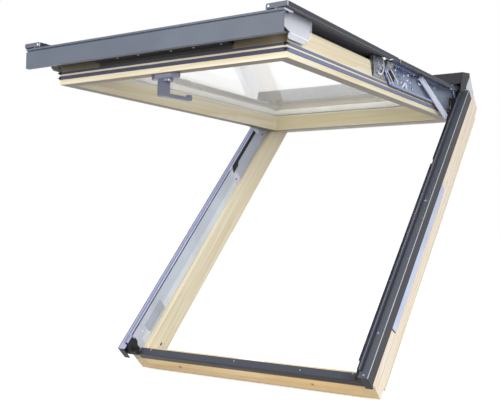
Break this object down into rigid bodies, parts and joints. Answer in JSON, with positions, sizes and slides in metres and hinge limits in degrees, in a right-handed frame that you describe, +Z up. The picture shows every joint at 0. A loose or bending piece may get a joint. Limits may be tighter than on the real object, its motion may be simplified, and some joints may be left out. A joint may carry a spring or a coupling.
{
  "type": "top-hung and centre-pivot roof window",
  "caption": "Pitched timber roof window with metal cladding: the glazed sash swings out about a top hinge and also turns about a centre pivot.",
  "frame": {"origin": "middle of the down-slope face of the frame's bottom rail, the face that is held", "axes": "+X to the right seen from outside, +Y level into the roof, +Z up; the frame is pitched 45 degrees and the sash stands open about level"},
  "size_m": [0.8, 1.3144, 0.9475],
  "materials": {
    "pine": "clear lacquered pine",
    "dark_cladding": "satin grey aluminium",
    "pale_cladding": "plain folded sheet",
    "black_plastic": "matte black",
    "aluminium": "satin",
    "zinc_steel": "zinc plated",
    "gasket": "matte",
    "glass": "clear",
    "spacer": "satin",
    "handle_metal": "silver grey"
  },
  "bodies": {
    "frame": {"frame_bottom_rail": "pine", "frame_top_rail": "pine", "left_jamb": "pine", "right_jamb": "pine", "frame_bottom_cladding": "dark_cladding", "left_jamb_cladding": "dark_cladding", "right_jamb_cladding": "dark_cladding", "top_hood": "dark_cladding", "left_hood_cap": "black_plastic", "right_hood_cap": "black_plastic", "left_hood_side": "pale_cladding", "right_hood_side": "pale_cladding", "left_guide_rail": "aluminium", "right_guide_rail": "aluminium", "left_side_strip": "aluminium", "right_side_strip": "aluminium", "left_corner_plug": "black_plastic", "right_corner_plug": "black_plastic", "left_frame_bracket": "zinc_steel", "right_frame_bracket": "zinc_steel", "left_guide_shoe": "zinc_steel", "right_guide_shoe": "zinc_steel", "left_slide_bar": "black_plastic", "right_slide_bar": "black_plastic"},
    "arms": {"left_hinge_arm": "zinc_steel", "right_hinge_arm": "zinc_steel", "left_upper_cladding": "dark_cladding", "right_upper_cladding": "dark_cladding"},
    "struts": {"left_strut": "zinc_steel", "right_strut": "zinc_steel"},
    "sash": {"sash_bottom_rail": "pine", "sash_top_rail": "pine", "left_sash_stile": "pine", "right_sash_stile": "pine", "sash_room_gasket": "gasket", "sash_outer_gasket": "gasket", "inner_pane": "glass", "outer_pane": "glass", "pane_spacer": "spacer", "sash_fascia": "dark_cladding", "sash_top_cladding": "dark_cladding", "vent_strip": "black_plastic", "left_lower_cladding": "dark_cladding", "right_lower_cladding": "dark_cladding", "left_end_plate": "pale_cladding", "right_end_plate": "pale_cladding", "left_pivot_leaf": "zinc_steel", "right_pivot_leaf": "zinc_steel", "handle_base": "handle_metal"},
    "handle": {"handle_lever": "handle_metal"}
  },
  "joints": [
    {"name": "top_hung", "type": "hinge", "parent": "frame", "child": "arms", "pos_m": [0, 0.69579, 0.8754], "axis": [-1, 0, 0], "range_deg": [-46, 0]},
    {"name": "centre_pivot", "type": "hinge", "parent": "arms", "child": "sash", "pos_m": [0, 0.16768, 0.87362], "axis": [-1, 0, 0], "range_deg": [0, 160]},
    {"name": "handle_turn", "type": "hinge", "parent": "sash", "child": "handle", "pos_m": [-0.003, -0.35918, 0.77179], "axis": [0, 0.0175, 0.9998], "range_deg": [0, 90]},
    {"name": "strut_swing", "type": "hinge", "parent": "arms", "child": "struts", "pos_m": [0, 0.38933, 0.85174], "axis": [-1, 0, 0], "range_deg": [-19, 1]}
  ],
  "couplings": [
    {"joint": "strut_swing", "follows": "top_hung", "ratio": 0.3913}
  ]
}
